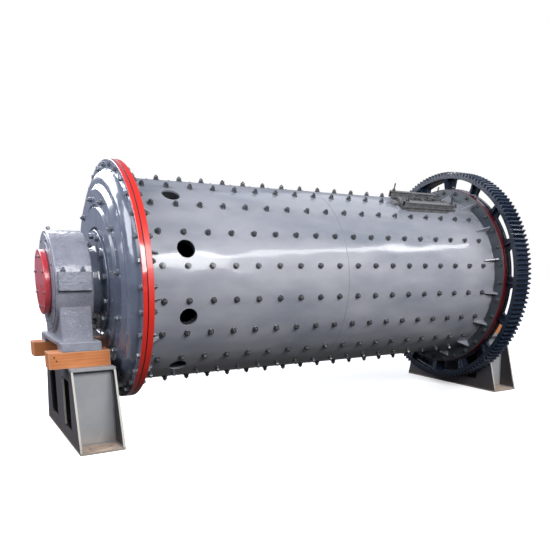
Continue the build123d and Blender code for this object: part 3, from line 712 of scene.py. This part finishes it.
for end, side in mill["side"].items():
    for name, size, body, slotName in (
        ("cover_screws", coverScrews, "drum", "red_paint"),
        ("seal_screws", sealScrews, "frame", "bearing_paint"),
    ):
        places = boltCircle(size, size["phase"], side * size["out"], side, 11)
        spread(f"{end}_{name}", boltHead(size), places, "paintedBoltSteel", body)
    places = [
        standing((side * x, front * capStuds["y"], capStuds["z"]), (0, 0, 1), capStuds["spin"])
        for x in capStuds["x"] for front in (-1, 1)
    ]
    spread(f"{end}_cap_studs", nutAndStud(capStuds), places, "paintedBoltSteel", "frame")
    cupPoint = onDrum(side * greaseCup["x"], greaseCup["angle"], greaseCup["radius"])
    cupPlace = standing(cupPoint, outwards(greaseCup["angle"]))
    cupShape = turnedShape(greaseCup["rings"])
    spread(f"{end}_grease_cup", cupShape, [cupPlace], "paintedBoltSteel", "frame")
print("bearing fittings made")

# A lifting eye on the plain end's trunnion flange: the gear end's gap to the bearing is too narrow for one
liftingEye = {"depth": 0.1895, "angle": 180, "radius": 0.469, "ring": 0.034, "tube": 0.011, "stem": 0.014}
eyeX = mill["joint"]["plain_end"] - liftingEye["depth"]
eyePoint = onDrum(eyeX, liftingEye["angle"], liftingEye["radius"])
eyePlace = lying(eyePoint, (-1, 0, 0), (0, 0, 1))
eye = eyeShape(liftingEye["ring"], liftingEye["tube"], liftingEye["stem"])
spread("lifting_eye", eye, [eyePlace], "greasySteel", "drum")


# Welds: a bead along each run, a little lumpy, lying in the corner between two plates
def beadRun(start, finish, sideA, sideB, leg, pitch=0.02):
    start, finish = Vector(start), Vector(finish)
    steps = max(2, round((finish - start).length / pitch))
    corners = []
    for step in range(steps + 1):
        swell = 1 + 0.13 * math.sin(step * 2.4) + 0.06 * math.sin(step * 5.1 + 1)
        middle = start.lerp(finish, step / steps)
        spreadA, spreadB = Vector(sideA) * leg * swell, Vector(sideB) * leg * swell
        corners += [middle + spreadA, middle + (spreadA + spreadB) * 0.62, middle + spreadB, middle]
    return corners, skinFaces(steps + 1, 4)


gussetWelds = {
    "count": 16, "phase": {"plain_end": 7.5, "gear_end": 10.1},
    "length": {"plain_end": 0.11, "gear_end": 0.175}, "face": {"plain_end": -2.265, "gear_end": 2.33},
    "halfThickness": 0.008, "leg": 0.009, "reach": 0.09, "sharpAngle": 50,
}
for end, side in mill["side"].items():
    runs = []
    face = gussetWelds["face"][end]
    for angle in anglesOf(gussetWelds["count"], gussetWelds["phase"][end]):
        out = outwards(angle)
        for hand in (-1, 1):
            across = sideways(angle) * hand
            foot = onDrum(face, angle, shellRadius) + across * gussetWelds["halfThickness"]
            tip = foot - Vector((side * gussetWelds["length"][end], 0, 0))
            top = foot + out * gussetWelds["reach"]
            runs.append(beadRun(foot, tip, out, across, gussetWelds["leg"]))
            runs.append(beadRun(foot, top, across, Vector((-side, 0, 0)), gussetWelds["leg"]))
    addPiece(
        f"{end}_gusset_welds", joined(runs), "enamelledWeld", "drum", gussetWelds["sharpAngle"]
    )

# The seam between the two shell courses, and the fillet round each end of the shell
seams = {
    "course_seam": {"x": 0.0, "halfWidth": 0.008, "height": 0.0015},
    "plain_end_flange_seam": {"x": -2.265, "halfWidth": 0.012, "height": 0.01},
    "gear_end_flange_seam": {"x": 2.33, "halfWidth": 0.012, "height": 0.01},
}
bead = {
    "steps": 360, "profile": ((-1, 0), (-0.5, 0.8), (0, 1), (0.5, 0.8), (1, 0)), "sink": 0.001,
    "sharpAngle": 60,
}
for name, seam in seams.items():
    corners, faces = [], []
    lanes = len(bead["profile"])
    for step, angle in enumerate(anglesOf(bead["steps"])):
        swell = 1 + 0.12 * math.sin(step * 2.7) + 0.08 * math.sin(step * 0.9)
        for across, rise in bead["profile"]:
            x = seam["x"] + across * seam["halfWidth"] * swell
            radius = shellRadius - bead["sink"] + rise * (seam["height"] * swell + bead["sink"])
            corners.append(onDrum(x, angle, radius))
        low, high = step * lanes, (step + 1) % bead["steps"] * lanes
        for lane in range(lanes - 1):
            faces.append((low + lane, low + lane + 1, high + lane + 1, high + lane))
    addPiece(name, (corners, faces), "enamelledWeld", "drum", bead["sharpAngle"])

standWelds = {"leg": 0.012, "plate": 0.02, "short": 0.01, "sharpAngle": 50}
for end in mill["side"]:
    base, webs, roof = (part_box(f"{end}_stand_{piece}") for piece in ("base_plate", "end_webs", "top_plate"))
    inner, outer = base[0].x + standWelds["plate"], base[1].x - standWelds["plate"]
    levels = ((base[1].z, base[1].y, 1), (roof[0].z, roof[1].y, -1))
    leg = standWelds["leg"]
    runs = []
    for front in (-1, 1):
        webY = front * webs[1].y
        for x, hand in ((inner, 1), (outer, -1)):
            runs.append(beadRun(
                (x, webY, base[1].z), (x, webY, roof[0].z), (hand, 0, 0), (0, front, 0), leg
            ))
            for z, y, rise in levels:
                endY = front * (y - standWelds["short"])
                runs.append(beadRun((x, webY, z), (x, endY, z), (hand, 0, 0), (0, 0, rise), leg))
        for z, y, rise in levels:
            runs.append(beadRun((inner, webY, z), (outer, webY, z), (0, front, 0), (0, 0, rise), leg))
    addPiece(
        f"{end}_stand_welds", joined(runs), "enamelledWeld", "frame", standWelds["sharpAngle"]
    )
print("welds made")

# Manhole: studs through the clamp bars' ends, dogs across the cover, lips along the bars, a bent strap, stops
manhole = {
    "x": 1.5, "angle": 28.3, "barAngles": (20.6, 36.0), "barTop": 1.1808, "coverTop": 1.1004,
    "studX": (1.13, 1.87), "acrossFlats": 0.036, "nutHeight": 0.022, "washerRadius": 0.026,
    "washerHeight": 0.006, "studRadius": 0.009, "tip": 0.052, "tallTip": 0.1,
}
tall = dict(manhole, tip=manhole["tallTip"])
farAngle, nearAngle = manhole["barAngles"]
for name, angle, size in (("far", farAngle, tall), ("near", nearAngle, manhole)):
    out = outwards(angle)
    places = [standing(onDrum(x, angle, manhole["barTop"]), out, x * 40) for x in manhole["studX"]]
    spread(f"manhole_{name}_bar_nuts", nutAndStud(size), places, "oversprayedSteel", "drum")

dogs = {
    "x": (1.24, 1.4, 1.56, 1.72), "shift": (0.03, -0.02, 0.025, -0.03), "length": 0.05, "width": 0.2,
    "height": 0.03, "cut": 0.006, "acrossFlats": 0.04, "nutHeight": 0.028, "washerRadius": 0.028,
    "washerHeight": 0.008, "studRadius": 0.011, "tip": 0.075,
}
angle = manhole["angle"]
places = [lying(onDrum(x, angle, manhole["coverTop"]), outwards(angle), (1, 0, 0)) for x in dogs["x"]]
dogShape = plateShape(dogs["length"], dogs["width"], dogs["height"], dogs["cut"])
spread("manhole_dogs", dogShape, places, "wornPrimer", "drum")
dogTop = manhole["coverTop"] + dogs["height"]
places = [
    standing(onDrum(x, angle, dogTop) + sideways(angle) * shift, outwards(angle), x * 70)
    for x, shift in zip(dogs["x"], dogs["shift"])
]
spread("manhole_dog_nuts", nutAndStud(dogs), places, "oversprayedSteel", "drum")

lips = {
    "length": 0.82, "thickness": 0.006, "height": 0.012, "cut": 0.002, "drops": (0.004, 0.062), "half": 0.03,
}
places = []
for angle in manhole["barAngles"]:
    for hand in (-1, 1):
        across = sideways(angle) * hand
        for drop in lips["drops"]:
            foot = onDrum(manhole["x"], angle, manhole["barTop"] - drop) + across * lips["half"]
            places.append(lying(foot, across, (1, 0, 0)))
lipShape = plateShape(lips["length"], lips["height"], lips["thickness"], lips["cut"])
spread("manhole_bar_lips", lipShape, places, "wornPrimer", "drum")

strap = {
    "x": (1.105, 1.15), "from": 23.4, "to": 33.2, "gap": 0.002, "rise": 0.04, "thickness": 0.008, "steps": 16,
    "sharpAngle": 40,
}
corners = []
for step in range(strap["steps"] + 1):
    share = step / strap["steps"]
    angle = strap["from"] + (strap["to"] - strap["from"]) * share
    low = manhole["coverTop"] + strap["gap"] + strap["rise"] * math.sin(math.pi * share) ** 0.7
    for x, height in ((0, 0), (1, 0), (1, 1), (0, 1)):
        corners.append(onDrum(strap["x"][x], angle, low + height * strap["thickness"]))
strapShape = corners, skinFaces(strap["steps"] + 1, 4)
addPiece("manhole_strap", strapShape, "wornPrimer", "drum", strap["sharpAngle"])

stops = {
    "places": ((1.965, 34.5), (1.975, 24), (1.04, 30)), "length": 0.06, "width": 0.07, "height": 0.05,
    "cut": 0.008, "sink": 0.002,
}
places = [
    lying(onDrum(x, angle, shellRadius - stops["sink"]), outwards(angle), (1, 0, 0))
    for x, angle in stops["places"]
]
stopShape = plateShape(stops["length"], stops["width"], stops["height"], stops["cut"])
spread("manhole_stops", stopShape, places, "wornPrimer", "drum")
print("manhole fittings made")


# Timber packing: rough-sawn blocks with worn arrises, painted pale partly as a highlight, in place of the
# plain ones
def sawnBlock(name, low, high, look):
    corners, faces, arrisWearAndLight = [], [], []
    index = {}
    size = high - low
    counts = [max(2, round(size[axis] / look["spacing"])) for axis in range(3)]

    def cornerAt(place):
        if place in index:
            return index[place]
        point = Vector(low[axis] + size[axis] * place[axis] / counts[axis] for axis in range(3))
        wane = look["arris"] * (0.55 + 0.9 * abs(noise.noise(point * 5)) + 0.3 * noise.noise(point * 23))
        inside = Vector(min(max(point[axis], low[axis] + wane), high[axis] - wane) for axis in range(3))
        away = point - inside
        cut = sum(1 for axis in range(3) if place[axis] in (0, counts[axis]))
        if away.length > 1e-6:
            point = inside + away.normalized() * wane
            rough = look["rough"] * (0.5 + 0.5 * noise.noise(point * 30))
            point = point - away.normalized() * rough
        index[place] = len(corners)
        corners.append(point)
        arrisWearAndLight.append(1.0 if cut > 1 else 0.0)
        return index[place]

    for axis in range(3):
        one, two = (axis + 1) % 3, (axis + 2) % 3
        for end in (0, counts[axis]):
            for first in range(counts[one]):
                for second in range(counts[two]):
                    quad = []
                    for stepOne, stepTwo in ((0, 0), (1, 0), (1, 1), (0, 1)):
                        place = [0, 0, 0]
                        place[axis], place[one], place[two] = end, first + stepOne, second + stepTwo
                        quad.append(cornerAt(tuple(place)))
                    faces.append(tuple(quad if end else quad[::-1]))
    block = addPiece(name, (corners, faces), "sawnHardwood", "frame", look["sharpAngle"])
    arris = block.data.attributes.new("arris", "FLOAT", "POINT")
    arris.data.foreach_set("value", arrisWearAndLight)
    return block


packing = {"spacing": 0.012, "arris": 0.007, "rough": 0.0012, "sharpAngle": 60}
nailHeads = {
    "insets": ((0.05, 0.045), (0.07, 0.08)), "sink": 0.002,
    "rings": ((0, 0.008, None), (0.0025, 0.008, None), (0.0035, 0.006, None)),
}
places = []
for end in mill["side"]:
    for row, front in (("front", -1), ("back", 1)):
        nodeName = f"{end}_{row}_packing_block"
        low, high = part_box(nodeName)
        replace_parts(sawnBlock(f"{end}_{row}_timber", low, high, packing), nodeName)
        face = low.y if front < 0 else high.y
        for inset, drop in nailHeads["insets"]:
            point = (low.x + inset, face - front * nailHeads["sink"], high.z - drop)
            places.append(standing(point, (0, front, 0)))
spread("packing_nails", turnedShape(nailHeads["rings"]), places, "rustyNailSteel", "frame")
print("timber packing made")


# Stage: a white floor that keeps the shadow, a white sky and five soft lamps
def addStage(look):
    # The floor looks white but for the shadow, glows more far out, and throws back only a dull light
    material, tree, shader, where = newMaterial("paleFloor")
    lightPath = addNode(tree, "LightPath", {}, {})
    tone = addNode(
        tree, "Mix", {"data_type": "RGBA", 6: colour(look["bounce"]), 7: colour(look["seen"])},
        {0: lightPath.outputs["Is Camera Ray"]},
    )
    mirrored = addNode(
        tree, "Math", {"operation": "MAXIMUM"},
        {0: lightPath.outputs["Is Glossy Ray"], 1: lightPath.outputs["Is Transmission Ray"]},
    )
    shown = addNode(tree, "Math", {"operation": "MULTIPLY", 1: look["mirrored"]}, {0: mirrored.outputs[0]})
    distance = addNode(tree, "VectorMath", {"operation": "LENGTH"}, {0: where.outputs["Object"]})
    reached = addNode(
        tree, "MapRange", {"From Min": look["near"], "From Max": look["far"]},
        {"Value": distance.outputs["Value"]},
    )
    paler = addNode(
        tree, "MapRange", {"To Min": look["glow"], "To Max": look["farGlow"]}, {"Value": reached.outputs[0]}
    )
    glow = addNode(
        tree, "Math", {"operation": "MULTIPLY_ADD"},
        {0: lightPath.outputs["Is Camera Ray"], 1: paler.outputs[0], 2: shown.outputs[0]},
    )
    shader.inputs["Roughness"].default_value = 0.9
    shader.inputs["Specular IOR Level"].default_value = 0.1
    shader.inputs["Emission Color"].default_value = (1, 1, 1, 1)
    tree.links.new(tone.outputs[2], shader.inputs["Base Color"])
    tree.links.new(glow.outputs[0], shader.inputs["Emission Strength"])
    mesh = bpy.data.meshes.new("floor")
    reach, level = look["reach"], look["level"]
    mesh.from_pydata(
        [(-reach, -reach, level), (reach, -reach, level), (reach, reach, level), (-reach, reach, level)],
        [], [(0, 1, 2, 3)],
    )
    mesh.materials.append(material)
    floor = bpy.data.objects.new("floor", mesh)
    bpy.context.collection.objects.link(floor)


def addWorld(look):
    # White behind the mill, a pale sky in its gloss and a dimmer one that fills the shade
    world = bpy.data.worlds.new("studio")
    world.use_nodes = True
    tree = world.node_tree
    background = tree.nodes["Background"]
    lightPath = addNode(tree, "LightPath", {}, {})
    mirrored = addNode(
        tree, "Math", {"operation": "MAXIMUM"},
        {0: lightPath.outputs["Is Glossy Ray"], 1: lightPath.outputs["Is Transmission Ray"]},
    )
    sky = addNode(
        tree, "MapRange", {"To Min": look["fill"], "To Max": look["mirrored"]}, {"Value": mirrored.outputs[0]}
    )
    strength = addNode(
        tree, "MapRange", {"To Max": 1.0},
        {"Value": lightPath.outputs["Is Camera Ray"], "To Min": sky.outputs[0]},
    )
    tone = addNode(
        tree, "Mix", {"data_type": "RGBA", 6: colour(look["sky"]), 7: colour("#ffffff")},
        {0: lightPath.outputs["Is Camera Ray"]},
    )
    tree.links.new(tone.outputs[2], background.inputs["Color"])
    tree.links.new(strength.outputs[0], background.inputs["Strength"])
    bpy.context.scene.world = world


def away(azimuth, elevation):  # a direction from the mill, by its bearing from the front and its rise
    turn, rise = math.radians(azimuth), math.radians(elevation)
    return Vector((math.sin(turn) * math.cos(rise), -math.cos(turn) * math.cos(rise), math.sin(rise)))


def lookingBack(direction):  # the rotation of a lamp or camera that looks back along a direction
    return (-direction).to_track_quat("-Z", "Y").to_euler()


def addLamp(name, azimuth, elevation, distance, width, height, power, tint):
    lamp = bpy.data.lights.new(name, "AREA")
    lamp.shape = "RECTANGLE"
    lamp.size, lamp.size_y = width, height
    lamp.energy = power
    lamp.color = colour(tint)[:3]
    direction = away(azimuth, elevation)
    piece = bpy.data.objects.new(name, lamp)
    piece.location = Vector((0, 0, 1.4)) + direction * distance
    piece.rotation_euler = lookingBack(direction)
    piece.visible_camera = False
    bpy.context.collection.objects.link(piece)


addStage({
    "bounce": "#2e2b29", "seen": "#f4f4f4", "glow": 0.46, "farGlow": 1.0, "near": 3.4, "far": 7,
    "mirrored": 0.07, "reach": 60, "level": -0.001,
})
addWorld({"fill": 0.23, "mirrored": 0.36, "sky": "#dde6ff"})
lamps = {  # azimuth, elevation, distance, width, height, power and tint
    "keyLamp": (-4, 23, 10, 7, 3.4, 930, "#ffffff"),
    "bandLamp": (33, 31, 10, 9, 0.8, 350, "#ffffff"),
    "headLamp": (-80, 30, 9, 4, 5, 430, "#f6f8ff"),
    "backLamp": (-146, 34, 10, 8, 5, 860, "#f4f7ff"),
    "sideLamp": (120, 50, 11, 7, 6, 150, "#f4f7ff"),
}
for name, values in lamps.items():
    addLamp(name, *values)

view = {
    "azimuth": -32.3825, "elevation": 10.1165, "location": (-3.9455, -6.7951, 1.7484), "lens": 39.857,
    "shift": (-0.0924, 0.1827),
}
cameraData = bpy.data.cameras.new("camera")
cameraData.sensor_width = 36
cameraData.lens = view["lens"]
cameraData.shift_x, cameraData.shift_y = view["shift"]
camera = bpy.data.objects.new("camera", cameraData)
camera.location = view["location"]
camera.rotation_euler = lookingBack(away(view["azimuth"], view["elevation"]))
bpy.context.collection.objects.link(camera)
bpy.context.scene.camera = camera
bpy.context.scene.view_settings.view_transform = "Standard"
print("stage, lamps and camera made")
